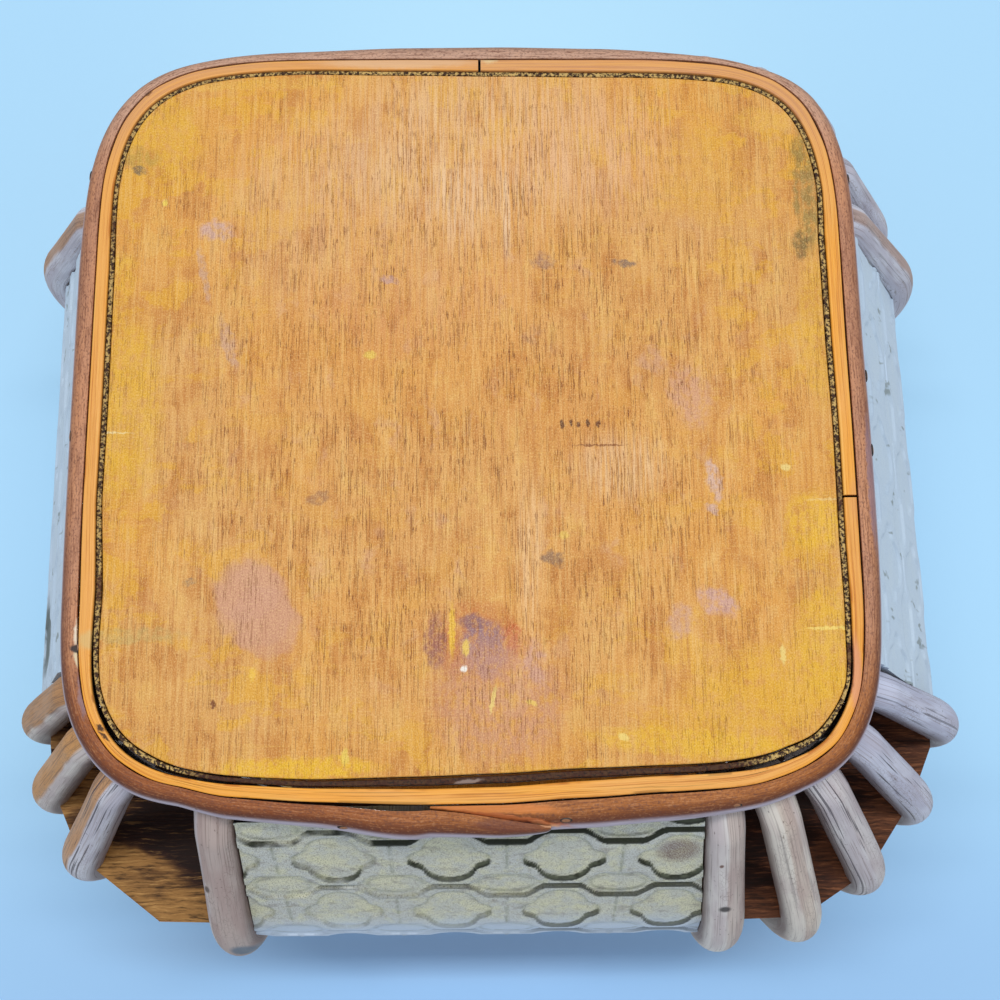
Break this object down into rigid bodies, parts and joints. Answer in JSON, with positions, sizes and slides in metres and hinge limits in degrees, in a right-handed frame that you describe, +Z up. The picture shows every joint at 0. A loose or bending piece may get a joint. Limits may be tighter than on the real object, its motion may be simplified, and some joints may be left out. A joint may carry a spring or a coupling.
{
  "type": "storage basket",
  "caption": "Square bow-sided storage basket: a banded wooden bottom, bent rods fanned round the corners, an inner shelf frame and embossed sheets on the sides.",
  "frame": {"origin": "centre of the basket's outermost outline, on its flat bottom face, where it stands", "axes": "+Z up through the open mouth; -Y is the side with the lap in the outer band; +X to the right seen from that side"},
  "size_m": [0.3276, 0.3254, 0.21],
  "materials": {
    "board_plywood": "amber-stained plywood, vertical grain, worn satin varnish",
    "edging_strip": "pale split cane edging, speckled, matt",
    "band_rattan": "orange-brown varnished half-round cane, satin to glossy",
    "rib_rattan": "pale greyish rattan rod with fine grain and bark blotches, satin",
    "shoulder_wood": "dark brown stained board, coarse streaks, matt",
    "embossed_panel": "thin pressed sheet with raised lattice, washed pale green-cream over dark olive, matt"
  },
  "bodies": {
    "root": {"base_board": "board_plywood", "base_edging": "edging_strip", "base_inner_band_a": "band_rattan", "base_inner_band_b": "band_rattan", "base_outer_band": "band_rattan", "rib_front_left_1": "rib_rattan", "rib_front_left_2": "rib_rattan", "rib_front_left_3": "rib_rattan", "rib_front_left_4": "rib_rattan", "rib_front_left_5": "rib_rattan", "rib_front_right_1": "rib_rattan", "rib_front_right_3": "rib_rattan", "rib_front_right_4": "rib_rattan", "rib_front_right_5": "rib_rattan", "rib_back_left_1": "rib_rattan", "rib_back_left_2": "rib_rattan", "rib_back_left_3": "rib_rattan", "rib_back_left_4": "rib_rattan", "rib_back_left_5": "rib_rattan", "rib_back_right_1": "rib_rattan", "rib_back_right_2": "rib_rattan", "rib_back_right_3": "rib_rattan", "rib_back_right_4": "rib_rattan", "rib_back_right_5": "rib_rattan", "shoulder_frame": "shoulder_wood", "panel_front": "embossed_panel", "panel_back": "embossed_panel", "panel_left": "embossed_panel", "panel_right": "embossed_panel", "top_frame": "board_plywood", "top_inner_band": "band_rattan", "top_outer_band": "band_rattan"}
  },
  "joints": []
}
